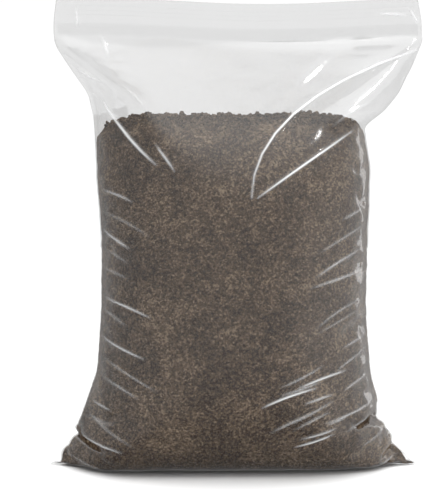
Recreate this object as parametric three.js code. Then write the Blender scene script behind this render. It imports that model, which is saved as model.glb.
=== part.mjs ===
// A clear zip-top film bag that stands on its base, three quarters full of compost.
// Millimetres, +Z up, front towards -Y. The origin is the middle of the base, on the floor.
// The bag is one sheet of film, folded across the bottom and welded up both sides.
// The zip is two moulded strips, one welded inside each panel, pressed together.
import * as THREE from "three";
import { mergeVertices } from "three/addons/utils/BufferGeometryUtils.js";

// --- Driving dimensions ---------------------------------------------------------------------

const FILM = 0.4; // film thickness: thicker than real film, to be sound as a solid
const GAP = 0.3; // clearance between neighbouring pieces
const SLACK = 0.8; // clearance between the compost and the film, which creases
const BAG_HEIGHT = 387; // from the floor to the mouth of the bag, at its ends
const ZIP_Z = 361.5; // height of the middle of the zip, at its ends
const ZIP_WEB = 10; // height of a zip strip
const ZIP_HALF = 1.5; // half the thickness of the closed zip, without the film
const WEB_FACE = 1.25; // from the middle of the closed zip to the face of each strip's web
const STRIP_END = 6; // from the end of a strip to the side weld
const TRACK_PITCH = 3.4; // from one track of the double zip to the other
const COMPOST_Z = 289; // top of the heap
const HEAP_DROP = 20; // how far the heap falls away towards the film
const SAG = 5; // how far the middle of the mouth hangs below its ends
const SAG_AT = 21; // the lowest point of the mouth, to the right of the middle
const SAG_FROM = 306; // no sag below this height
const BOW = 4; // how far the zip wanders forwards and backwards
const MOUTH_REACH = 150; // half the length of the mouth that sags and wanders
const FLATNESS = 2.3; // of the front and rear: 2 is an ellipse, and more is flatter

const AROUND = 24; // columns of each panel, from side weld to side weld
const ROWS_A_GAP = 2; // rows of film from one station to the next

// --- Outline of the filled bag --------------------------------------------------------------

// At each height: the left and right side welds, half the depth, and how blunt the section is
// at the welds, from 1, a pointed lens, to 0.5, an ellipse.
const STATIONS = [
  { z: 0, left: -136, right: 135, depth: 46, blunt: 0.85 },
  { z: 3, left: -150, right: 148.5, depth: 53, blunt: 0.95 },
  { z: 9, left: -146, right: 139.5, depth: 59, blunt: 0.95 },
  { z: 20, left: -139, right: 130.5, depth: 65, blunt: 0.85 },
  { z: 43, left: -128.5, right: 119.5, depth: 72, blunt: 0.72 },
  { z: 81, left: -117.5, right: 111, depth: 77, blunt: 0.62 },
  { z: 132, left: -113.5, right: 107, depth: 79, blunt: 0.56 },
  { z: 193, left: -113, right: 107.5, depth: 77, blunt: 0.56 },
  { z: 249, left: -116.5, right: 109.5, depth: 69, blunt: 0.6 },
  { z: 283, left: -118.5, right: 107, depth: 56, blunt: 0.68 },
  { z: 293, left: -119.5, right: 117.5, depth: 50, blunt: 0.75 },
  { z: 309, left: -122, right: 131.5, depth: 38, blunt: 0.8 },
  { z: 330, left: -133.5, right: 142.5, depth: 20, blunt: 0.85 },
  { z: 349, left: -148.5, right: 151.5, depth: 5, blunt: 0.6 },
];
// Above the body the two panels lie flat, only as far apart as the zip between them.
const BAND_DEPTH = ZIP_HALF + GAP + FILM;
const BAND = [
  { z: ZIP_Z - ZIP_WEB / 2 - 1, left: -152.2, right: 152.2, depth: BAND_DEPTH, blunt: 0.01 },
  { z: ZIP_Z, left: -152.2, right: 152.2, depth: BAND_DEPTH, blunt: 0.01 },
  { z: ZIP_Z + ZIP_WEB / 2 + 1, left: -151.7, right: 151.7, depth: BAND_DEPTH, blunt: 0.01 },
  { z: ZIP_Z + ZIP_WEB / 2 + 4, left: -149.7, right: 150.2, depth: BAND_DEPTH, blunt: 0.01 },
  { z: BAG_HEIGHT, left: -148.8, right: 150, depth: BAND_DEPTH, blunt: 0.01 },
];
const VALUES = ["left", "right", "depth", "blunt"];
// The heap's surface: how far in from the film, and what share of the drop it has risen.
const HEAP = [
  { inwards: 7, rise: 0.45 },
  { inwards: 20, rise: 0.8 },
  { inwards: 38, rise: 1 },
];

// The outline of one track of each strip, upwards: two claws with hooks turned towards each
// other, and one rib with an arrow head that lies behind the hooks.
const CLAWS = [
  { up: -1.15, depth: -WEB_FACE },
  { up: -1.15, depth: 0.5 },
  { up: -0.45, depth: 0.5 },
  { up: -0.45, depth: 0.2 },
  { up: -0.85, depth: 0.2 },
  { up: -0.85, depth: -WEB_FACE },
  { up: 0.85, depth: -WEB_FACE },
  { up: 0.85, depth: 0.2 },
  { up: 0.45, depth: 0.2 },
  { up: 0.45, depth: 0.5 },
  { up: 1.15, depth: 0.5 },
  { up: 1.15, depth: -WEB_FACE },
];
const RIB = [
  { up: -0.15, depth: WEB_FACE },
  { up: -0.15, depth: -0.1 },
  { up: -0.55, depth: -0.1 },
  { up: -0.2, depth: -0.8 },
  { up: 0.2, depth: -0.8 },
  { up: 0.55, depth: -0.1 },
  { up: 0.15, depth: -0.1 },
  { up: 0.15, depth: WEB_FACE },
];

// --- Shared geometry ------------------------------------------------------------------------

const outline = new THREE.CubicInterpolant(
  STATIONS.map((s) => s.z),
  STATIONS.flatMap((s) => VALUES.map((v) => s[v])),
  VALUES.length,
);

function sectionAt(z) {
  const [left, right, depth, blunt] = outline.evaluate(z);
  return { z, left, right, depth, blunt };
}

// The body's sections up to a height, with ROWS_A_GAP rows from station to station.
function bodySections(top) {
  const sections = [];
  for (let i = 0; i < STATIONS.length - 1; i++) {
    for (let k = 0; k < ROWS_A_GAP; k++) {
      const z = THREE.MathUtils.lerp(STATIONS[i].z, STATIONS[i + 1].z, k / ROWS_A_GAP);
      if (z < top) sections.push(sectionAt(z));
    }
  }
  return sections;
}

// The closed ring of points round a section, drawn in by inset: along the front from the left
// weld to the right one, and back along the rear.
function ring(section, inset = 0, z = section.z) {
  const half = (section.right - section.left) / 2 - inset;
  const middle = (section.right + section.left) / 2;
  const points = [];
  for (let i = 0; i < 2 * AROUND; i++) {
    const across = -Math.cos((Math.PI * i) / AROUND);
    const side = i < AROUND ? -1 : 1;
    const bulge = Math.max(0, 1 - Math.abs(across) ** FLATNESS) ** section.blunt;
    points.push(hang(new THREE.Vector3(
      middle + half * across,
      side * (section.depth - inset) * bulge,
      z,
    )));
  }
  return points;
}

// How the empty top of the bag hangs: it sags between the ends of the zip, and wanders a little.
function hang(point) {
  const free = THREE.MathUtils.smoothstep(point.z, SAG_FROM, ZIP_Z);
  const across = THREE.MathUtils.clamp((point.x - SAG_AT) / MOUTH_REACH, -1, 1);
  point.z -= free * SAG * Math.cos((Math.PI * across) / 2) ** 2;
  point.y += free * BOW * Math.sin((Math.PI * point.x) / MOUTH_REACH);
  return point;
}

// A skin over a stack of rings, each with the same number of points, open at both ends.
function skin(rings) {
  const n = rings[0].length;
  const position = rings.flat().flatMap((p) => p.toArray());
  const index = [];
  for (let r = 0; r < rings.length - 1; r++) {
    for (let i = 0; i < n; i++) {
      const a = r * n + i;
      const b = r * n + ((i + 1) % n);
      index.push(a, b, b + n, a, b + n, a + n);
    }
  }
  return { position, index, n };
}

// Closes ring number row with strips from its front to its back, facing 1 up or -1 down.
function cap({ index, n }, row, facing) {
  const at = (i) => row * n + ((i + n) % n);
  for (let i = 0; i < n / 2; i++) {
    const corners = [at(i), at(i + 1), at(-i - 1), at(-i)];
    if (facing < 0) corners.reverse();
    const [a, b, c, d] = corners;
    for (const three of [[a, b, c], [a, c, d]]) {
      if (new Set(three).size === 3) index.push(...three);
    }
  }
}

// The same rings moved inwards, square to their skin. The lowest one stays flat on the base.
function drawnIn(rings, by) {
  const normal = geometryOf(skin(rings)).getAttribute("normal");
  const moved = rings.map((points, r) => points.map((point, i) => {
    const out = new THREE.Vector3().fromBufferAttribute(normal, r * points.length + i);
    return point.clone().addScaledVector(out, -by);
  }));
  for (const point of moved[0]) point.z = by;
  return moved;
}

function geometryOf({ position, index }) {
  const geometry = new THREE.BufferGeometry();
  geometry.setAttribute("position", new THREE.Float32BufferAttribute(position, 3));
  geometry.setIndex(index);
  geometry.computeVertexNormals();
  return geometry;
}

function piece(name, geometry, material) {
  const mesh = new THREE.Mesh(geometry, material);
  mesh.name = name;
  return mesh;
}

// --- Materials ------------------------------------------------------------------------------

const clearFilm = new THREE.MeshStandardMaterial({
  color: 0xe9eaeb,
  roughness: 0.12,
  metalness: 0,
  transparent: true,
  opacity: 0.25,
});
const clearStrip = new THREE.MeshStandardMaterial({
  color: 0xdfe2e4,
  roughness: 0.25,
  metalness: 0,
  transparent: true,
  opacity: 0.45,
});
const darkCompost = new THREE.MeshStandardMaterial({
  color: 0x5c5249,
  roughness: 0.95,
  metalness: 0,
});

// --- Pieces ---------------------------------------------------------------------------------

// The film: an outer skin from the base up to the mouth, and an inner skin back down.
function bagFilm() {
  const outer = [...bodySections(Infinity), STATIONS.at(-1), ...BAND].map((s) => ring(s));
  const inner = drawnIn(outer, FILM);
  const made = skin([...outer, ...inner.reverse()]);
  cap(made, 0, -1);
  cap(made, 2 * outer.length - 1, 1);
  return piece("bag_film", geometryOf(made), clearFilm);
}

// The compost fills the bag up to its rim against the film, and heaps up from there.
function compost() {
  const rim = COMPOST_Z - HEAP_DROP;
  const edge = sectionAt(rim);
  const rings = drawnIn([...bodySections(rim), edge].map((s) => ring(s)), FILM + SLACK);
  for (const { inwards, rise } of HEAP) {
    rings.push(ring(edge, inwards, rim + HEAP_DROP * rise));
  }
  const made = skin(rings);
  cap(made, 0, -1);
  cap(made, rings.length - 1, 1);
  return piece("compost", geometryOf(made), darkCompost);
}

// A zip strip's section as a flat shape: x is the height from the zip's middle, y the depth.
// Its web lies against the film on one side, -1 for the front and 1 for the rear.
function stripShape(side, track) {
  const half = ZIP_WEB / 2;
  const shape = new THREE.Shape();
  shape.moveTo(-half, side * ZIP_HALF);
  shape.lineTo(-half, side * WEB_FACE);
  for (const middle of [-TRACK_PITCH / 2, TRACK_PITCH / 2]) {
    for (const { up, depth } of track) shape.lineTo(middle + up, depth);
  }
  shape.lineTo(half, side * WEB_FACE);
  shape.lineTo(half, side * ZIP_HALF);
  shape.closePath();
  return shape;
}

function zipStrip(name, shape) {
  const from = BAND[1].left + STRIP_END;
  const to = BAND[1].right - STRIP_END;
  const straight = new THREE.ExtrudeGeometry(shape, {
    depth: to - from,
    steps: AROUND,
    bevelEnabled: false,
  });
  straight.deleteAttribute("normal");
  straight.deleteAttribute("uv");
  const geometry = mergeVertices(straight);
  const position = geometry.getAttribute("position");
  for (let i = 0; i < position.count; i++) {
    // The shape's x stands up, its y points back, and the extrusion runs along the mouth.
    const point = hang(new THREE.Vector3(
      from + position.getZ(i),
      position.getY(i),
      ZIP_Z + position.getX(i),
    ));
    position.setXYZ(i, point.x, point.y, point.z);
  }
  geometry.index.array.reverse();
  return piece(name, geometry, clearStrip);
}

const bag = new THREE.Group();
bag.name = "compost_bag";
bag.add(
  bagFilm(),
  compost(),
  zipStrip("zip_groove_strip", stripShape(-1, CLAWS)),
  zipStrip("zip_rib_strip", stripShape(1, RIB)),
);

export default bag;
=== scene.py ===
"""A clear zip-top film bag, three quarters full of compost, standing on its own base.

The bag is one sheet of film, folded across the bottom and welded up both sides. Its two panels are
laid up as the flat pattern they are cut from, filled by a cloth simulation, and the compost is then
poured into the shape that the film has taken. Metres, +Z up, front towards -Y.
"""

import math
import random

import bmesh
import bpy
import numpy as np
from bpy.props import FloatProperty, FloatVectorProperty, IntProperty, PointerProperty
from mathutils import Matrix, Vector, noise
from mathutils.bvhtree import BVHTree


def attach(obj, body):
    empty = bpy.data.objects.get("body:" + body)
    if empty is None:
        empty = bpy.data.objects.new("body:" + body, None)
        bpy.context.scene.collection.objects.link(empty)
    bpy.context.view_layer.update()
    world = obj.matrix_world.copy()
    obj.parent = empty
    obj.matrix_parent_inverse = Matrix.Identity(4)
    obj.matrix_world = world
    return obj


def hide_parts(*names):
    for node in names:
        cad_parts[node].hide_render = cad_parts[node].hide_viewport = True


bl_info = {
    "name": "Compost Bag",
    "version": (1, 0, 0),
    "blender": (4, 5, 0),
    "location": "View3D > Sidebar > Compost Bag",
    "description": "Makes a clear zip-top film bag filled with compost, and a studio to show it in",
    "category": "Add Mesh",
}

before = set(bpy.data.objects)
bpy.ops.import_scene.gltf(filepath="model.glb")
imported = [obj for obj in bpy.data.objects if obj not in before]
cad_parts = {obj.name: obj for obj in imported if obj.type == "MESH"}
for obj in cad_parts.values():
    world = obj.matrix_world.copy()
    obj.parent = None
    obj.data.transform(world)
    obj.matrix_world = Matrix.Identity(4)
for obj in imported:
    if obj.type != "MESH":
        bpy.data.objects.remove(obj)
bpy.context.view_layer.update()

# --- The filled bag's outline ---------------------------------------------------------------

# At each height: the left and right side welds, half the depth, and how blunt the section is
# at the welds, from 1, a pointed lens, to 0.5, an ellipse.
OUTLINE = np.array((
    (0.000, -0.1400, 0.1370, 0.046, 0.80),
    (0.003, -0.1570, 0.1520, 0.053, 0.85),
    (0.009, -0.1530, 0.1450, 0.059, 0.85),
    (0.020, -0.1440, 0.1345, 0.065, 0.80),
    (0.043, -0.1310, 0.1210, 0.072, 0.72),
    (0.081, -0.1175, 0.1110, 0.077, 0.62),
    (0.132, -0.1135, 0.1070, 0.079, 0.56),
    (0.193, -0.1130, 0.1078, 0.077, 0.56),
    (0.249, -0.1165, 0.1095, 0.069, 0.60),
    (0.283, -0.1185, 0.1035, 0.056, 0.68),
    (0.293, -0.1195, 0.1180, 0.050, 0.75),
    (0.309, -0.1235, 0.1315, 0.038, 0.80),
    (0.330, -0.1380, 0.1425, 0.020, 0.85),
    (0.349, -0.1500, 0.1500, 0.005, 0.60),
    (0.356, -0.1510, 0.1508, 0.002, 0.05),
    (0.368, -0.1510, 0.1508, 0.002, 0.05),
    (0.387, -0.1485, 0.1472, 0.002, 0.05),
))
HEIGHT, LEFT, RIGHT, DEPTH, BLUNT = range(5)
LOWEST_WELD = 0.0012  # height of the side welds' lower ends, at the tips of the base
BAND_FOOT = 0.356  # height of the zip band's lower edge, before it sags
MOUTH = 0.387
ZIP_MIDDLE = 0.3615
SAG_FROM = 0.306  # no sag below this height
SAG_AT = 0.021  # the lowest point of the mouth, to the right of the middle
MOUTH_REACH = 0.150  # half the length of the mouth that sags and wanders
PUCKER_DEPTH = 0.0025  # of the small ripples that the welds start with
GRIP_RIBS = (0.0115, 0.0150, 0.0185)  # heights of the lip's ribs above the middle of the zip
RIB_FACE = -0.00215  # depth at which the ribs lie, on the outside of the front lip
RIB_RADIUS = 0.0004
STRIP_CUTS = 60  # cuts along a strip or a rib, so that it can follow the mouth
CLEARANCE = 0.0005  # least gap between compost and film


# The main folds of the front panel: half width and height in millimetres, then where each
# starts, which way it bends, and where it ends, as (x, z) in millimetres.
MAIN_FOLDS = (
    # Taut folds from the ends of the zip down onto the heap.
    (1.2, 1.2, (-110, 305), (-90, 275), (-65, 255)),
    (1.1, 0.9, (-65, 270), (-57, 260), (-50, 250)),
    (1.2, 1.4, (145, 345), (10, 300), (10, 230)),
    (1.1, 1.1, (90, 280), (50, 255), (15, 230)),
    (1.2, 0.6, (110, 305), (95, 300), (75, 285)),
    (4.0, 1.2, (85, 350), (60, 330), (40, 310)),
    # Small wrinkles of the empty film, and kinks at the ends of the band.
    (1.5, 0.9, (-110, 355), (-107, 347), (-105, 340)),
    (1.2, 0.8, (-130, 330), (-120, 322), (-110, 320)),
    (1.2, 0.6, (-90, 315), (-80, 307), (-75, 300)),
    (1.4, 0.9, (-131, 380), (-130, 370), (-130, 362)),
    (1.2, 0.9, (115, 374), (125, 374), (137, 373)),
    (1.2, 0.9, (139, 378), (143, 372), (146, 366)),
)


# --- Settings -------------------------------------------------------------------------------


class BagFilmSettings(bpy.types.PropertyGroup):
    """The flat pattern of the film and how it hangs"""

    width: FloatProperty(
        name="Flat width", description="Film from side weld to side weld, laid flat",
        default=0.3044, unit="LENGTH", subtype="DISTANCE",
    )
    height: FloatProperty(
        name="Flat height", description="Film from the bottom fold to the mouth, laid flat",
        default=0.457, unit="LENGTH", subtype="DISTANCE",
    )
    band: FloatProperty(
        name="Band height", description="Zip band and lip together, which stay flat",
        default=0.031, unit="LENGTH", subtype="DISTANCE",
    )
    base: FloatProperty(
        name="Base", description="Film of each panel that lies on the floor",
        default=0.046, unit="LENGTH", subtype="DISTANCE",
    )
    sag: FloatProperty(
        name="Sag", description="How far the middle of the mouth hangs below its ends",
        default=0.005, unit="LENGTH", subtype="DISTANCE",
    )
    wander: FloatProperty(
        name="Wander", description="How far the mouth swings forwards and backwards",
        default=0.004, unit="LENGTH", subtype="DISTANCE",
    )
    take_up: FloatProperty(
        name="Take-up", description="Share of the welds' length lost where they pucker",
        default=0.06, min=0.0, max=0.2, subtype="FACTOR",
    )
    pucker: FloatProperty(
        name="Pucker", description="From one pucker of the side welds to the next",
        default=0.026, unit="LENGTH", subtype="DISTANCE",
    )
    fold_spacing: FloatProperty(
        name="Fold spacing", description="From one fold of the side fans to the next",
        default=0.017, unit="LENGTH", subtype="DISTANCE",
    )
    columns: IntProperty(name="Columns", description="Cells across a panel", default=72)
    rows: IntProperty(name="Rows", description="Cells up a panel", default=108)
    frames: IntProperty(name="Frames", description="Frames of cloth simulation", default=50)
    haze: FloatVectorProperty(
        name="Haze", description="Colour of the film's own faint cloudiness",
        default=(0.92, 0.93, 0.94), subtype="COLOR",
    )


class ZipSettings(bpy.types.PropertyGroup):
    """The two zip strips"""

    length: FloatProperty(
        name="Length", description="From end to end of a strip",
        default=0.2924, unit="LENGTH", subtype="DISTANCE",
    )
    middle: FloatProperty(
        name="Height", description="From the floor to the middle of the zip, at its ends",
        default=ZIP_MIDDLE, unit="LENGTH", subtype="DISTANCE",
    )
    web: FloatProperty(
        name="Web", description="Height of a strip",
        default=0.010, unit="LENGTH", subtype="DISTANCE",
    )
    half: FloatProperty(
        name="Half thickness", description="From the middle of the closed zip to its outside",
        default=0.0015, unit="LENGTH", subtype="DISTANCE",
    )
    pitch: FloatProperty(
        name="Track pitch", description="From one track of the double zip to the other",
        default=0.0034, unit="LENGTH", subtype="DISTANCE",
    )


class CompostSettings(bpy.types.PropertyGroup):
    """The fill of the bag"""

    rim: FloatProperty(
        name="Rim", description="Height up to which the compost presses on the film",
        default=0.271, unit="LENGTH", subtype="DISTANCE",
    )
    heap: FloatProperty(
        name="Heap", description="How far the heap rises above its rim",
        default=0.019, unit="LENGTH", subtype="DISTANCE",
    )
    grain: FloatProperty(
        name="Grain", description="Size of a fine crumb",
        default=0.0013, unit="LENGTH", subtype="DISTANCE",
    )
    crumbs: IntProperty(
        name="Crumbs", description="Loose crumbs lying on the heap", default=3200
    )


class StageSettings(bpy.types.PropertyGroup):
    """The studio"""

    distance: FloatProperty(
        name="Camera distance", description="From the camera to the middle of the bag",
        default=1.4, unit="LENGTH", subtype="DISTANCE",
    )
    elevation: FloatProperty(
        name="Camera elevation", description="How far the camera looks down",
        default=math.radians(6.5), unit="ROTATION", subtype="ANGLE",
    )


# --- Shared tools ---------------------------------------------------------------------------


def linear(colour):
    """An sRGB colour such as "#5c5249" as linear RGBA."""
    values = [int(colour[k : k + 2], 16) / 255 for k in (1, 3, 5)]
    return (*[c / 12.92 if c <= 0.04045 else ((c + 0.055) / 1.055) ** 2.4 for c in values], 1.0)


def add(tree, kind, values=(), **settings):
    """Adds a node with its settings, and with a value or a link for each socket named in values."""
    made = tree.nodes.new(kind)
    for name, value in settings.items():
        setattr(made, name, value)
    for socket, value in dict(values).items():
        if isinstance(value, bpy.types.NodeSocket):
            tree.links.new(value, made.inputs[socket])
        else:
            made.inputs[socket].default_value = value
    return made


def new_material(name):
    """An empty node material and its tree."""
    material = bpy.data.materials.new(name)
    material.use_nodes = True
    material.node_tree.nodes.clear()
    return material, material.node_tree


def put_out(name, mesh, material):
    """A finished piece: its mesh at the origin, smooth, riding on the bag."""
    piece = bpy.data.objects.new(name, mesh)
    bpy.context.scene.collection.objects.link(piece)
    mesh.materials.clear()
    mesh.materials.append(material)
    mesh.polygons.foreach_set("use_smooth", [True] * len(mesh.polygons))
    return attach(piece, "root")


def applied(obj, name):
    """The object's mesh with its modifiers applied. The object itself is removed."""
    graph = bpy.context.evaluated_depsgraph_get()
    mesh = bpy.data.meshes.new_from_object(obj.evaluated_get(graph), depsgraph=graph)
    mesh.name = name
    bpy.data.objects.remove(obj)
    return mesh


def points_of(mesh):
    """The mesh's vertices as rows of a numpy array."""
    flat = np.empty(len(mesh.vertices) * 3)
    mesh.vertices.foreach_get("co", flat)
    return flat.reshape(-1, 3)


def normals_of(mesh):
    """The normals at the mesh's vertices as rows of a numpy array."""
    flat = np.empty(len(mesh.vertices) * 3)
    mesh.vertices.foreach_get("normal", flat)
    return flat.reshape(-1, 3)


def move_points(mesh, points):
    """Puts the mesh's vertices where the rows of a numpy array say."""
    mesh.vertices.foreach_set("co", np.asarray(points, float).ravel())
    mesh.update()


def layer_of(mesh, name):
    """A number kept at each vertex, as a numpy array."""
    values = np.empty(len(mesh.vertices))
    mesh.attributes[name].data.foreach_get("value", values)
    return values


def eased(t):
    """0 below 0, 1 above 1, and a smooth step between."""
    t = np.clip(t, 0, 1)
    return t * t * (3 - 2 * t)


# --- Film -----------------------------------------------------------------------------------


def heights_on_bag(u, h, bag):
    """The height that each point of the flat film comes to. u runs from weld to weld, -1 to 1."""
    band_from = bag.height - bag.band
    fine = np.linspace(LOWEST_WELD, MOUTH, 400)
    weld = np.interp(fine, OUTLINE[:, HEIGHT], OUTLINE[:, LEFT])
    run = np.concatenate(([0], np.cumsum(np.hypot(np.diff(weld), np.diff(fine)))))
    at_weld = np.interp(h / band_from * np.interp(BAND_FOOT, fine, run), run, fine)
    fine = np.linspace(0, MOUTH, 400)
    depth = np.interp(fine, OUTLINE[:, HEIGHT], OUTLINE[:, DEPTH])
    run = np.concatenate(([0], np.cumsum(np.hypot(np.diff(depth), np.diff(fine)))))
    run *= (band_from - bag.base) / np.interp(BAND_FOOT, fine, run)
    at_middle = np.interp(h - bag.base, run, fine)
    middle = (1 - np.abs(u)) ** 0.6
    body = (1 - middle) * at_weld + middle * at_middle
    return np.where(h > band_from, BAND_FOOT + h - band_from, body)


def on_outline(u, z, side):
    """Points on the bag's plain outline at the heights z, on the front (-1) or the rear (1)."""
    left, right, depth, blunt = (np.interp(z, OUTLINE[:, HEIGHT], OUTLINE[:, k]) for k in range(1, 5))
    full = np.clip(depth / 0.03, 0, 1)
    across = (1 - full) * u + full * np.sin(math.pi / 2 * u)
    bulge = np.maximum(0, 1 - np.abs(across) ** 2.3) ** blunt
    x = (left + right) / 2 + (right - left) / 2 * across
    return np.stack((x, side * depth * bulge, z), axis=1)


def filled(u, h, side, bag):
    """The plain filled bag, without creases: the shape that the simulation starts from."""
    points = on_outline(u, heights_on_bag(u, h, bag), side)
    on_floor = on_outline(u, np.zeros_like(u), side)
    on_floor[:, 1] *= np.clip(h / bag.base, 0, 1)
    lies = np.where(h < bag.base, (1 - np.abs(u)) ** 0.5, 0)[:, None]
    points += (on_floor - points) * lies
    # The welds start with small ripples, so that they pucker evenly.
    wave = np.sin(points[:, 2] / bag.pucker * 2 * math.pi + (u > 0) * 2)
    points[:, 1] += PUCKER_DEPTH * wave * np.abs(u) ** 6 * eased((0.31 - points[:, 2]) / 0.02) * eased(
        (points[:, 2] - 0.01) / 0.02
    )
    return hung(points, bag)


def hung(points, bag):
    """How the empty top hangs: it sags between the ends of the zip, and wanders a little."""
    free = eased((points[:, 2] - SAG_FROM) / (ZIP_MIDDLE - SAG_FROM))
    along = np.clip((points[:, 0] - SAG_AT) / MOUTH_REACH, -1, 1)
    points[:, 2] -= free * bag.sag * np.cos(math.pi / 2 * along) ** 2
    points[:, 1] += free * bag.wander * np.sin(math.pi * points[:, 0] / MOUTH_REACH)
    return points


def flat_pattern(u, h, side, start, bag):
    """The flat film, bent as a whole so that its fold and its band lie where the filled bag's do.

    Each column is an arc, so that every length on it is that of the flat film.
    """
    band_from = bag.height - bag.band
    length = band_from * (1 - bag.take_up * np.abs(u) ** 4)
    half = np.ones_like(u)
    for _ in range(60):
        slope = (np.sin(half) - half * np.cos(half)) / np.sin(half) ** 2
        half -= (half / np.sin(half) - length / BAND_FOOT) / slope
    radius = length / 2 / half
    angle = half * (2 * h / band_from - 1)
    points = np.stack((
        u * (bag.width / 2 - 0.0012 * (1 - h / bag.height)),
        radius * (np.cos(half) - np.cos(angle)) + side * 0.0005 * (1 - np.abs(u)),
        BAND_FOOT / 2 + radius * np.sin(angle),
    ), axis=1)
    fold = h < 1e-6
    points[fold, 1] = 0
    points[fold, 2] = LOWEST_WELD
    band = h > band_from - 1e-6
    points[band] = start[band]
    return points


def film_panels(bag):
    """Both panels as one mesh, welded up the sides and folded at the bottom.

    Each vertex keeps its place on the flat film: u across, h up, and the side it is on.
    """
    bm = bmesh.new()
    across, up, side = (bm.verts.layers.float.new(name) for name in ("across", "up", "side"))
    chart = bm.loops.layers.uv.new("flat_film")
    for facing in (-1, 1):
        panel = bmesh.ops.create_grid(bm, x_segments=bag.columns, y_segments=bag.rows, size=1)["verts"]
        for vert in panel:
            vert[across], vert[up], vert[side] = vert.co.x, (vert.co.y + 1) / 2 * bag.height, facing
        faces = {face for vert in panel for face in vert.link_faces}
        for loop in (loop for face in faces for loop in face.loops):
            x = (loop.vert[across] + facing) * bag.width / 2
            loop[chart].uv = (x, loop.vert[up])
        if facing > 0:
            bmesh.ops.reverse_faces(bm, faces=list(faces))
    bm.verts.ensure_lookup_table()
    flat = np.array([(v[across], v[up], v[side]) for v in bm.verts])
    for vert, place in zip(bm.verts, filled(*flat.T, bag)):
        vert.co = place
    joined = [v for v in bm.verts if abs(v[across]) > 0.9999 or v[up] < 1e-6]
    bmesh.ops.remove_doubles(bm, verts=joined, dist=1e-5)
    mesh = bpy.data.meshes.new("film")
    bm.to_mesh(mesh)
    bm.free()
    return mesh


def add_group(obj, name, weights):
    """A vertex group with these weights."""
    group = obj.vertex_groups.new(name=name)
    for index in np.nonzero(weights > 0)[0]:
        group.add([int(index)], float(weights[index]), "REPLACE")


def settle(mesh, bag):
    """Fills the film: pressure of the compost inside, the floor below, and the zip held up."""
    obj = bpy.data.objects.new("film_settling", mesh)
    scene = bpy.context.scene
    scene.collection.objects.link(obj)
    u, h, side = (layer_of(mesh, name) for name in ("across", "up", "side"))
    obj.shape_key_add(name="Basis")
    flat = obj.shape_key_add(name="flat", from_mix=False)
    pattern = flat_pattern(u, h, side, points_of(mesh), bag)
    flat.data.foreach_set("co", pattern.ravel())
    # The cloth starts as the filled bag at frame 1, and takes its lengths from the flat film
    # from frame 2 on.
    for at, value in ((1, 0.0), (2, 1.0)):
        flat.value = value
        flat.keyframe_insert("value", frame=at)
    held = (h > bag.height - bag.band) | (h < 1e-6)
    add_group(obj, "held", held.astype(float))
    add_group(obj, "pressed", np.clip((0.342 - h) / 0.012, 0, 1))
    cloth = obj.modifiers.new("Cloth", "CLOTH")
    settings, contact = cloth.settings, cloth.collision_settings
    settings.quality = 5
    settings.mass = 0.004
    settings.tension_stiffness = settings.compression_stiffness = 0.1
    settings.shear_stiffness = 0.05
    settings.bending_stiffness = 0.0005
    settings.bending_model = "ANGULAR"
    settings.tension_damping = settings.compression_damping = settings.shear_damping = 0.05
    settings.bending_damping = 0.05
    settings.air_damping = 1.0
    settings.vertex_group_mass = "held"
    settings.pin_stiffness = 20
    settings.use_dynamic_mesh = True
    settings.use_pressure = True
    settings.vertex_group_pressure = "pressed"
    gravity, pressure, level = 0.3, 0.5, 0.6
    settings.uniform_pressure_force = pressure
    settings.fluid_density = pressure / (gravity * level)
    contact.collision_quality = 3
    contact.distance_min = 0.001
    contact.use_self_collision = False
    bpy.ops.mesh.primitive_cube_add(size=2, location=(0, 0, -1))
    floor = bpy.context.object
    bpy.ops.object.transform_apply(location=True)
    floor.modifiers.new("Collision", "COLLISION")
    floor.collision.thickness_outer = 0.001
    floor.collision.cloth_friction = 20
    scene.gravity = (0, 0, -gravity)
    cloth.point_cache.frame_end = scene.frame_end = bag.frames
    for at in range(1, bag.frames + 1):
        scene.frame_set(at)
    graph = bpy.context.evaluated_depsgraph_get()
    settled = bpy.data.meshes.new_from_object(obj.evaluated_get(graph), depsgraph=graph)
    bpy.data.objects.remove(floor)
    bpy.data.objects.remove(obj)
    scene.frame_set(1)
    return settled


def fit_outline(points):
    """Eases the sides in or out to the bag's outline, height by height, and rests it on the floor."""
    levels = np.arange(0.002, BAND_FOOT, 0.002)
    for side, column in ((-1, LEFT), (1, RIGHT)):
        reach = np.array([
            (side * points[np.abs(points[:, 2] - z) < 0.003, 0]).max() for z in levels
        ])
        padded = np.pad(reach, 2, mode="edge")
        reach = np.convolve(padded, np.ones(5) / 5, mode="valid")
        goal = side * np.interp(np.maximum(levels, 0.003), OUTLINE[:, HEIGHT], OUTLINE[:, column])
        share = np.interp(points[:, 2], levels, goal / reach)
        share = 1 + (share - 1) * (1 - eased((points[:, 2] - 0.344) / 0.012))
        mine = side * points[:, 0] > 0
        points[mine, 0] *= share[mine]
    points[:, 2] -= (LOWEST_WELD - 0.0003) * (1 - eased(points[:, 2] / 0.03))
    return points


def fold_line(start, bend, end):
    """Points along a fold that leaves its start towards the bend and comes from there to its end."""
    t = np.linspace(0, 1, 9)[:, None]
    start, bend, end = (np.array(point, float) for point in (start, bend, end))
    return (1 - t) ** 2 * start + 2 * t * (1 - t) * bend + t**2 * end


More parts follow.
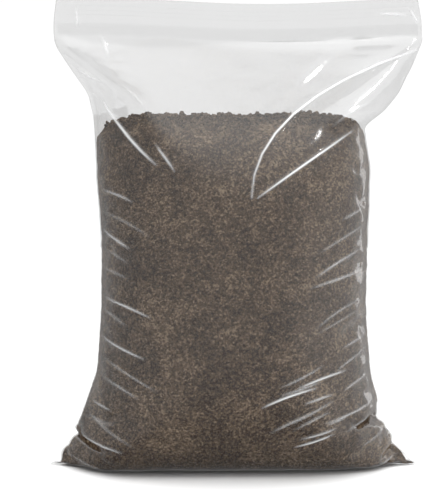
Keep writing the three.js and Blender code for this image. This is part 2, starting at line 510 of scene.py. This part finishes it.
def all_folds(bag):
    """Every fold of the front panel: the main ones, and fans that fall inwards from the welds."""
    chance = random.Random(11)
    folds = [(width, height, fold_line(*points)) for width, height, *points in MAIN_FOLDS]
    for column, foot, top, step, inset, height in (
        (LEFT, 0.014, 0.250, bag.fold_spacing, 0.006, 0.85),
        (RIGHT, 0.014, 0.225, bag.fold_spacing, 0.008, 0.75),
        # Where the right side leans on its corner, more of them lie further in.
        (RIGHT, 0.040, 0.100, bag.fold_spacing / 3, 0.035, 1.0),
    ):
        inwards = 1 if column == LEFT else -1
        for z in np.arange(foot, top, step):
            z += chance.uniform(-0.3, 0.3) * step
            x = np.interp(z, OUTLINE[:, HEIGHT], OUTLINE[:, column])
            x += inwards * inset * chance.uniform(0.7, 1.6)
            length = chance.uniform(0.014, 0.042)
            fall = length * chance.uniform(0.2, 0.55)
            end = (x + inwards * length, z - fall)
            bend = (x + inwards * length / 2, z - fall * chance.uniform(0.2, 0.6))
            line = 1000 * fold_line((x, z), bend, end)
            folds.append((chance.uniform(1.2, 1.6), height * chance.uniform(0.7, 1.2), line))
    return folds


def off_line(places, line):
    """How far each (x, z) place is from a line of points, and how far along it, 0 to 1."""
    away = np.full(len(places), np.inf)
    along = np.zeros(len(places))
    line = line / 1000
    runs = np.linalg.norm(np.diff(line, axis=0), axis=1)
    before = 0.0
    for start, end, run in zip(line[:-1], line[1:], runs):
        share = np.clip((places - start) @ (end - start) / run**2, 0, 1)
        gap = np.linalg.norm(places - start - share[:, None] * (end - start), axis=1)
        nearer = gap < away
        away[nearer] = gap[nearer]
        along[nearer] = ((before + share * run) / runs.sum())[nearer]
        before += run
    return away, along


def on_front(mesh):
    """Which vertices lie on the front panel, facing forwards."""
    return normals_of(mesh)[:, 1] < -0.05


def refined(mesh, folds):
    """Makes the film's cells smaller along its folds."""
    near = np.zeros(len(mesh.vertices), bool)
    front, places = on_front(mesh), points_of(mesh)[:, (0, 2)]
    for width, _, line in folds:
        near |= front & (off_line(places, line)[0] < 3 * width / 1000)
    bm = bmesh.new()
    bm.from_mesh(mesh)
    bm.verts.ensure_lookup_table()
    edges = [e for e in bm.edges if near[e.verts[0].index] and near[e.verts[1].index]]
    bmesh.ops.subdivide_edges(bm, edges=edges, cuts=1, use_grid_fill=True)
    bm.to_mesh(mesh)
    bm.free()


def creased(mesh, folds):
    """Lifts the film along its folds, less towards the ends of each.

    How sharply it is creased is kept at each vertex: creased film is a little whiter, and this
    whitening is made strong enough to paint a highlight along each crest.
    """
    front, points, normals = on_front(mesh), points_of(mesh), normals_of(mesh)
    lift, whitening_and_painted_glint = np.zeros(len(points)), np.zeros(len(points))
    for width, height, line in folds:
        away, along = off_line(points[:, (0, 2)], line)
        fade = np.sin(math.pi * np.clip(along, 0.04, 0.96)) ** 0.6 * front
        lift += height / 1000 * fade * np.exp(-((away * 1000 / width) ** 2))
        # Along the crest of each fold the film is whitened, as a painted highlight with a little real
        # whitening of creased film.
        painted_glint_crest = fade * np.exp(-((away * 1000 / width * 1.5) ** 2))
        whitening_and_painted_glint = np.maximum(whitening_and_painted_glint, np.clip(height / width, 0, 1) ** 2.3 * painted_glint_crest)
    move_points(mesh, points + normals * lift[:, None])
    mesh.attributes.new("whitening_and_painted_glint", "FLOAT", "POINT").data.foreach_set("value", whitening_and_painted_glint)


def calmed(mesh):
    """Smooths out the small ripples where the film is drawn tight over the compost."""
    bm = bmesh.new()
    bm.from_mesh(mesh)
    across, up = (bm.verts.layers.float[name] for name in ("across", "up"))
    tight = [v for v in bm.verts if abs(v[across]) < 0.62 and 0.06 < v[up] < 0.424]
    for _ in range(6):
        bmesh.ops.smooth_vert(bm, verts=tight, factor=0.5, use_axis_x=True, use_axis_y=True,
                              use_axis_z=True)
    bm.to_mesh(mesh)
    bm.free()


def film_material(settings):
    # Low-density polyethylene film, blown and left glossy: nearly clear, a little cloudy where
    # two layers lie together, with sharp reflections that break up on its fine crinkles.
    material, tree = new_material("blown_polyethylene_film")
    chart = add(tree, "ShaderNodeUVMap", uv_map="flat_film").outputs["UV"]
    # Waves a few centimetres long, and crinkles a few millimetres long.
    broad = add(tree, "ShaderNodeTexNoise", {"Vector": chart, "Scale": 30.0, "Detail": 2.0,
                                             "Roughness": 0.5, "Distortion": 0.6})
    fine = add(tree, "ShaderNodeTexNoise", {"Vector": chart, "Scale": 180.0, "Detail": 2.0,
                                            "Distortion": 0.8})
    soft = add(tree, "ShaderNodeBump", {"Height": broad.outputs["Fac"], "Distance": 0.0012,
                                        "Strength": 0.4})
    bump = add(tree, "ShaderNodeBump", {"Height": fine.outputs["Fac"], "Distance": 0.00015,
                                        "Strength": 0.5, "Normal": soft.outputs["Normal"]})
    normal = bump.outputs["Normal"]
    clear = add(tree, "ShaderNodeBsdfTransparent", {"Color": linear("#f3f3f3")})
    cloudy = add(tree, "ShaderNodeBsdfPrincipled", {
        "Base Color": (*settings.haze, 1.0), "Roughness": 0.55, "IOR": 1.51, "Normal": normal,
    })
    # Where it is sharply creased the film is whitened: a little, as creased film does, and mostly as a
    # painted highlight along the crest of each fold.
    whitening_and_painted_glint = add(tree, "ShaderNodeAttribute", attribute_name="whitening_and_painted_glint").outputs["Fac"]
    white = add(tree, "ShaderNodeMath", {0: whitening_and_painted_glint, 1: 0.9, 2: 0.02}, operation="MULTIPLY_ADD")
    body = add(tree, "ShaderNodeMixShader", {0: white.outputs[0], 1: clear.outputs[0],
                                             2: cloudy.outputs[0]})
    shine = add(tree, "ShaderNodeBsdfGlossy", {"Color": (1, 1, 1, 1), "Roughness": 0.10,
                                               "Normal": normal})
    # A film reflects at both of its faces, so twice as much as one face does.
    rim = add(tree, "ShaderNodeFresnel", {"IOR": 1.51, "Normal": normal})
    both = add(tree, "ShaderNodeMath", {0: rim.outputs[0], 1: 1.6}, operation="MULTIPLY")
    twice = add(tree, "ShaderNodeMath", {0: both.outputs[0], 1: 0.28}, operation="MINIMUM")
    whole = add(tree, "ShaderNodeMixShader", {0: twice.outputs[0], 1: body.outputs[0],
                                              2: shine.outputs[0]})
    add(tree, "ShaderNodeOutputMaterial", {"Surface": whole.outputs[0]})
    return material


class COMPOSTBAG_OT_film(bpy.types.Operator):
    """Make the bag's film, filled and creased"""

    bl_idname = "compost_bag.film"
    bl_label = "Film"

    def execute(self, context):
        bag = context.scene.compost_bag_film
        mesh = film_panels(bag)
        mesh = settle(mesh, bag)
        calmed(mesh)
        move_points(mesh, fit_outline(points_of(mesh)))
        smoothed = bpy.data.objects.new("film_smoothed", mesh)
        context.scene.collection.objects.link(smoothed)
        finer = smoothed.modifiers.new("Subdivision", "SUBSURF")
        finer.levels = finer.render_levels = 1
        film = applied(smoothed, "film")
        film.copy().name = "film_as_filled"
        folds = all_folds(bag)
        refined(film, folds)
        creased(film, folds)
        for spare in [a.name for a in film.attributes if a.name in ("across", "up", "side")]:
            film.attributes.remove(film.attributes[spare])
        piece = put_out("film", film, film_material(bag))
        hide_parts("bag_film")
        return {"FINISHED"}


# --- Compost --------------------------------------------------------------------------------


def poured(shape, fill):
    """The compost as one closed mesh, tight in the film up to its rim and flat on top."""
    bm = bmesh.new()
    bm.from_mesh(shape)
    bmesh.ops.bisect_plane(
        bm, geom=bm.verts[:] + bm.edges[:] + bm.faces[:], dist=1e-6,
        plane_co=(0, 0, fill.rim), plane_no=(0, 0, 1), clear_outer=True,
    )
    bmesh.ops.holes_fill(bm, edges=[e for e in bm.edges if e.is_boundary])
    mesh = bpy.data.meshes.new("compost_poured")
    bm.to_mesh(mesh)
    bm.free()
    obj = bpy.data.objects.new("compost_poured", mesh)
    bpy.context.scene.collection.objects.link(obj)
    remesh = obj.modifiers.new("Remesh", "REMESH")
    remesh.mode = "VOXEL"
    remesh.voxel_size = 0.0019
    return applied(obj, "compost")


def heaped(mesh, shape, fill):
    """Draws the compost in from the film, heaps up its top, and breaks its surface into crumbs."""
    bm = bmesh.new()
    bm.from_mesh(shape)
    film = BVHTree.FromBMesh(bm)
    bm.free()
    points, normals = points_of(mesh), normals_of(mesh)
    top = points[:, 2] > fill.rim - 0.0015
    open_top = []
    for k, (point, normal) in enumerate(zip(points, normals)):
        place = Vector(point)
        grains = noise.fractal(place / 0.0045, 0.9, 2.2, 3)
        if top[k]:
            wall, outwards, _, away = film.find_nearest(place)
            if away < 0.0014:
                points[k, :2] = (wall - outwards * 0.0014)[:2]
            rise = fill.heap * (1 - math.exp(-away / 0.008))
            lumps = noise.fractal(place / 0.016 + Vector((3, 7, 1)), 0.9, 2.1, 2)
            rise += 0.0032 * lumps + 0.0026 * grains
            points[k, 2] += max(-0.001, rise)
            roof = film.ray_cast(place, Vector((0, 0, 1)))[0]
            if roof is not None:
                points[k, 2] = min(points[k, 2], roof.z - 0.0015)
            if away > 0.006 and (roof is None or roof.z - points[k, 2] > 0.007):
                open_top.append(k)
        else:
            inset = 0.0010 - 0.0006 * max(0.0, -normal[2])
            place -= Vector(normal) * (inset - 0.0003 * min(1, max(-1, grains)))
            # Deep folds of the film push the compost in.
            wall, outwards, _, _ = film.find_nearest(place)
            if (place - wall).dot(outwards) > -CLEARANCE:
                place = wall - outwards * CLEARANCE
            points[k] = place
    move_points(mesh, points)
    return open_top


def compost_material(fill):
    # Screened garden compost, moist: dull, dark brown-grey crumbs of many tones, with no shine
    # of its own and small shadows between the crumbs.
    material, tree = new_material("screened_moist_compost")
    place = add(tree, "ShaderNodeTexCoord").outputs["Object"]
    grains = add(tree, "ShaderNodeTexVoronoi", {"Vector": place, "Scale": 1 / fill.grain,
                                                "Randomness": 1.0})
    fine = add(tree, "ShaderNodeTexNoise", {"Vector": place, "Scale": 1.6 / fill.grain,
                                            "Detail": 2.0, "Roughness": 0.6})
    clumps = add(tree, "ShaderNodeTexNoise", {"Vector": place, "Scale": 0.25 / fill.grain,
                                              "Detail": 2.0, "Roughness": 0.6})
    patches = add(tree, "ShaderNodeTexNoise", {"Vector": place, "Scale": 26.0, "Detail": 2.0,
                                               "Roughness": 0.6})
    tone = add(tree, "ShaderNodeSeparateColor", {"Color": grains.outputs["Color"]})
    # Each crumb has a tone of its own, on top of lighter and darker clumps and patches.
    tones = add(tree, "ShaderNodeMath", {0: tone.outputs[0], 1: 0.32, 2: -0.28},
                operation="MULTIPLY_ADD").outputs[0]
    for source, share in ((fine, 0.70), (clumps, 0.30), (patches, 0.40)):
        tones = add(tree, "ShaderNodeMath", {0: source.outputs["Fac"], 1: share, 2: tones},
                    operation="MULTIPLY_ADD").outputs[0]
    ramp = add(tree, "ShaderNodeValToRGB", {"Fac": tones})
    stops = ramp.color_ramp.elements
    stops[0].position, stops[0].color = 0.25, linear("#120d08")
    stops[1].position, stops[1].color = 0.88, linear("#938069")
    for at, colour in ((0.44, "#34271c"), (0.63, "#514132")):
        stops.new(at).color = linear(colour)
    deep = add(tree, "ShaderNodeBump", {"Height": grains.outputs["Distance"], "Distance": 0.0008,
                                        "Strength": 0.8}, invert=True)
    rough = add(tree, "ShaderNodeBump", {"Height": clumps.outputs["Fac"], "Distance": 0.0012,
                                         "Strength": 0.6, "Normal": deep.outputs["Normal"]})
    body = add(tree, "ShaderNodeBsdfPrincipled", {
        "Base Color": ramp.outputs["Color"], "Roughness": 0.95, "IOR": 1.45,
        "Specular IOR Level": 0.2, "Normal": rough.outputs["Normal"],
    })
    add(tree, "ShaderNodeOutputMaterial", {"Surface": body.outputs[0]})
    return material


def loose_crumbs(mesh, top, fill):
    """Small angular crumbs scattered over the heap."""
    chance = random.Random(7)
    places = points_of(mesh)[top]
    bm = bmesh.new()
    for _ in range(fill.crumbs):
        size = 0.0007 + 0.0019 * chance.random() ** 3
        place = Vector(places[chance.randrange(len(places))]) + Vector((
            chance.uniform(-0.001, 0.001), chance.uniform(-0.001, 0.001), 0.3 * size,
        ))
        turned = Matrix.Rotation(chance.uniform(0, 6.3), 4, Vector((
            chance.uniform(-1, 1), chance.uniform(-1, 1), 1,
        )))
        spread = Matrix.Diagonal((
            chance.uniform(0.7, 1.3), chance.uniform(0.7, 1.3), chance.uniform(0.5, 1.0), 1,
        ))
        crumb = bmesh.ops.create_icosphere(
            bm, subdivisions=1, radius=size, matrix=Matrix.Translation(place) @ turned @ spread,
        )["verts"]
        for vert in crumb:
            vert.co = place + (vert.co - place) * chance.uniform(0.75, 1.2)
    made = bpy.data.meshes.new("crumbs")
    bm.to_mesh(made)
    bm.free()
    return made


class COMPOSTBAG_OT_compost(bpy.types.Operator):
    """Pour the compost into the film, with loose crumbs on its heap"""

    bl_idname = "compost_bag.compost"
    bl_label = "Compost"

    def execute(self, context):
        fill = context.scene.compost_bag_fill
        shape = bpy.data.meshes.get("film_as_filled")
        if shape is None:
            raise RuntimeError("make the film first: the compost takes its shape")
        mesh = poured(shape, fill)
        top = heaped(mesh, shape, fill)
        material = compost_material(fill)
        compost = put_out("compost_fill", mesh, material)
        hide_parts("compost")
        crumbs = put_out("compost_crumbs", loose_crumbs(mesh, top, fill), material)
        bpy.data.meshes.remove(shape)
        return {"FINISHED"}


# --- Zip ------------------------------------------------------------------------------------


def strip_section(side, zip_):
    """One zip strip's section as (height from the zip's middle, depth), with a bead per track.

    The front strip's beads are pairs of claws and the rear strip's are single ribs, which lie
    between the claws.
    """
    face, back = side * zip_.half * 0.84, side * zip_.half
    beads = ((-0.0009, 0.00035), (0.0009, 0.00035)) if side < 0 else ((0.0, 0.00045),)
    tip = -side * 0.0003
    section = [(-zip_.web / 2, back), (-zip_.web / 2, face)]
    for track in (-zip_.pitch / 2, zip_.pitch / 2):
        for middle, half in beads:
            section += [(track + middle - half, face), (track + middle - half * 0.6, tip),
                        (track + middle + half * 0.6, tip), (track + middle + half, face)]
    return section + [(zip_.web / 2, face), (zip_.web / 2, back)]


def drawn_out(bm, end, zip_):
    """Extrudes an end face to the zip's whole length."""
    grown = bmesh.ops.extrude_face_region(bm, geom=[end])["geom"]
    moved = [v for v in grown if isinstance(v, bmesh.types.BMVert)]
    bmesh.ops.translate(bm, verts=moved, vec=(zip_.length, 0, 0))


def hung_mesh(bm, name, zip_, bag):
    """Cuts what was extruded along the mouth into short lengths, and hangs it with the mouth."""
    long = [e for e in bm.edges if e.calc_length() > zip_.length / 2]
    bmesh.ops.subdivide_edges(bm, edges=long, cuts=STRIP_CUTS, use_grid_fill=True)
    bmesh.ops.recalc_face_normals(bm, faces=bm.faces)
    straight = np.array([v.co for v in bm.verts])
    for vert, place in zip(bm.verts, hung(straight, bag)):
        vert.co = place
    mesh = bpy.data.meshes.new(name)
    bm.to_mesh(mesh)
    bm.free()
    return mesh


def zip_strip(name, side, zip_, bag):
    """A strip extruded along the mouth, then hung with it."""
    bm = bmesh.new()
    start = -zip_.length / 2
    section = [bm.verts.new((start, y, zip_.middle + z)) for z, y in strip_section(side, zip_)]
    drawn_out(bm, bm.faces.new(section), zip_)
    return hung_mesh(bm, name, zip_, bag)


def strip_material():
    # Extruded polyethylene, a little thicker than the film: clear but slightly milky.
    material, tree = new_material("extruded_polyethylene")
    clear = add(tree, "ShaderNodeBsdfTransparent", {"Color": linear("#ffffff")})
    milky = add(tree, "ShaderNodeBsdfPrincipled", {
        "Base Color": linear("#c9cbcc"), "Roughness": 0.35, "IOR": 1.51,
    })
    body = add(tree, "ShaderNodeMixShader", {0: 0.003, 1: clear.outputs[0], 2: milky.outputs[0]})
    shine = add(tree, "ShaderNodeBsdfGlossy", {"Color": (1, 1, 1, 1), "Roughness": 0.12})
    # The strips are welded to the film, so that only some of their faces meet air.
    rim = add(tree, "ShaderNodeFresnel", {"IOR": 1.51})
    part = add(tree, "ShaderNodeMath", {0: rim.outputs[0], 1: 0.12}, operation="MULTIPLY")
    whole = add(tree, "ShaderNodeMixShader", {0: part.outputs[0], 1: body.outputs[0],
                                              2: shine.outputs[0]})
    add(tree, "ShaderNodeOutputMaterial", {"Surface": whole.outputs[0]})
    return material


def grip_ribs(zip_, bag):
    """Fine ribs along the outside of the front lip, for fingers to hold."""
    bm = bmesh.new()
    for above in GRIP_RIBS:
        centre = Vector((-zip_.length / 2, RIB_FACE, zip_.middle + above))
        ring = bmesh.ops.create_circle(
            bm, segments=8, radius=RIB_RADIUS, cap_ends=True,
            matrix=Matrix.Translation(centre) @ Matrix.Rotation(math.pi / 2, 4, "Y"),
        )["verts"]
        drawn_out(bm, ring[0].link_faces[0], zip_)
    return hung_mesh(bm, "grip_ribs", zip_, bag)


class COMPOSTBAG_OT_zip(bpy.types.Operator):
    """Make the two zip strips, pressed together"""

    bl_idname = "compost_bag.zip"
    bl_label = "Zip strips"

    def execute(self, context):
        zip_, bag = context.scene.compost_bag_zip, context.scene.compost_bag_film
        material = strip_material()
        for name, side, node in (
            ("zip_claws", -1, "zip_groove_strip"), ("zip_ribs", 1, "zip_rib_strip"),
        ):
            strip = put_out(name, zip_strip(name, side, zip_, bag), material)
            strip.data.polygons.foreach_set("use_smooth", [False] * len(strip.data.polygons))
            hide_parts(node)
        put_out("grip_ribs", grip_ribs(zip_, bag), material)
        return {"FINISHED"}


# --- Stage ----------------------------------------------------------------------------------


def softbox(name, place, target, size, power):
    """A rectangular area light aimed at a point."""
    light = bpy.data.lights.new(name, "AREA")
    light.shape = "RECTANGLE"
    light.size, light.size_y = size
    light.energy = power
    obj = bpy.data.objects.new(name, light)
    bpy.context.scene.collection.objects.link(obj)
    obj.location = place
    obj.rotation_euler = (Vector(target) - Vector(place)).to_track_quat("-Z", "Y").to_euler()
    return obj


class COMPOSTBAG_OT_stage(bpy.types.Operator):
    """Set up the floor, the lights and the camera"""

    bl_idname = "compost_bag.stage"
    bl_label = "Stage"

    def execute(self, context):
        scene = context.scene
        stage = scene.compost_bag_stage
        bm = bmesh.new()
        bmesh.ops.create_grid(bm, x_segments=1, y_segments=1, size=1.6)
        mesh = bpy.data.meshes.new("floor")
        bm.to_mesh(mesh)
        bm.free()
        floor = bpy.data.objects.new("floor", mesh)
        scene.collection.objects.link(floor)
        material, tree = new_material("matt_white_board")
        body = add(tree, "ShaderNodeBsdfPrincipled", {
            "Base Color": linear("#f7f7f7"), "Roughness": 0.8, "Specular IOR Level": 0.1,
        })
        add(tree, "ShaderNodeOutputMaterial", {"Surface": body.outputs[0]})
        mesh.materials.append(material)
        # Neither the floor nor the two large lights are mirrored in the film.
        floor.visible_glossy = False
        # The room is white to look at, but gives less light than it shows, as a studio does: most
        # from above, some from the right, least from below.
        world = bpy.data.worlds.new("studio")
        world.use_nodes = True
        world.node_tree.nodes.clear()
        seen = add(world.node_tree, "ShaderNodeLightPath").outputs["Is Camera Ray"]
        coordinates = add(world.node_tree, "ShaderNodeTexCoord").outputs["Generated"]
        towards = add(world.node_tree, "ShaderNodeSeparateXYZ", {0: coordinates})
        light = 0.0
        for axis, low, high, darkest, brightest in (
            ("Z", -0.9, -0.2, 0.10, 0.42), ("Z", 0.3, 0.95, 0.0, 1.1), ("X", 0.0, 1.0, 0.0, 0.4),
        ):
            part = add(world.node_tree, "ShaderNodeMapRange", {
                "Value": towards.outputs[axis], "From Min": low, "From Max": high,
                "To Min": darkest, "To Max": brightest,
            }, interpolation_type="SMOOTHSTEP")
            light = add(world.node_tree, "ShaderNodeMath", {0: part.outputs[0], 1: light}).outputs[0]
        strength = add(world.node_tree, "ShaderNodeMapRange", {
            "Value": seen, "To Min": light, "To Max": 1.05,
        })
        room = add(world.node_tree, "ShaderNodeBackground", {
            "Color": (1, 1, 1, 1), "Strength": strength.outputs[0],
        })
        add(world.node_tree, "ShaderNodeOutputWorld", {"Surface": room.outputs[0]})
        scene.world = world
        middle = (0.0, 0.0, 0.18)
        top = softbox("top_light", (0.0, 0.35, 2.0), (0, 0.35, 0), (3.4, 3.4), 42)
        top.visible_glossy = False
        key = softbox("key_light", (1.4, -1.2, 1.1), middle, (1.2, 1.5), 8)
        key.visible_glossy = False
        softbox("rim_light", (1.5, 1.1, 0.5), middle, (0.3, 1.2), 1.2)
        softbox("spark_light", (0.75, -1.2, 1.9), middle, (0.16, 0.16), 6)
        camera = bpy.data.objects.new("camera", bpy.data.cameras.new("camera"))
        scene.collection.objects.link(camera)
        aim = Vector((-0.0165, 0.0, 0.183))
        away = Vector((0, -math.cos(stage.elevation), math.sin(stage.elevation)))
        camera.location = aim + away * stage.distance
        camera.rotation_euler = (-away).to_track_quat("-Z", "Y").to_euler()
        camera.data.sensor_fit = "VERTICAL"
        camera.data.sensor_height = 36.0
        camera.data.lens = 36.0 * stage.distance / 0.408
        scene.camera = camera
        scene.view_settings.view_transform = "Standard"
        return {"FINISHED"}


# --- Panel and registration -----------------------------------------------------------------


class COMPOSTBAG_PT_pieces(bpy.types.Panel):
    """Lists the pieces of the compost bag"""

    bl_label = "Compost Bag"
    bl_idname = "COMPOSTBAG_PT_pieces"
    bl_space_type = "VIEW_3D"
    bl_region_type = "UI"
    bl_category = "Compost Bag"

    def draw(self, context):
        for operator in OPERATORS:
            self.layout.operator(operator.bl_idname)
        for group in SETTINGS:
            box = self.layout.box()
            values = getattr(context.scene, group)
            for name in values.bl_rna.properties.keys():
                if name not in ("rna_type", "name"):
                    box.prop(values, name)


SETTINGS = {
    "compost_bag_film": BagFilmSettings,
    "compost_bag_zip": ZipSettings,
    "compost_bag_fill": CompostSettings,
    "compost_bag_stage": StageSettings,
}
OPERATORS = (COMPOSTBAG_OT_film, COMPOSTBAG_OT_compost, COMPOSTBAG_OT_zip, COMPOSTBAG_OT_stage)


def register():
    for name, group in SETTINGS.items():
        bpy.utils.register_class(group)
        setattr(bpy.types.Scene, name, PointerProperty(type=group))
    for made in (*OPERATORS, COMPOSTBAG_PT_pieces):
        bpy.utils.register_class(made)


def unregister():
    for made in (COMPOSTBAG_PT_pieces, *reversed(OPERATORS)):
        bpy.utils.unregister_class(made)
    for name, group in SETTINGS.items():
        delattr(bpy.types.Scene, name)
        bpy.utils.unregister_class(group)


def main():
    register()
    bpy.ops.compost_bag.film()
    bpy.ops.compost_bag.compost()
    bpy.ops.compost_bag.zip()
    bpy.ops.compost_bag.stage()


if __name__ == "__main__":
    main()
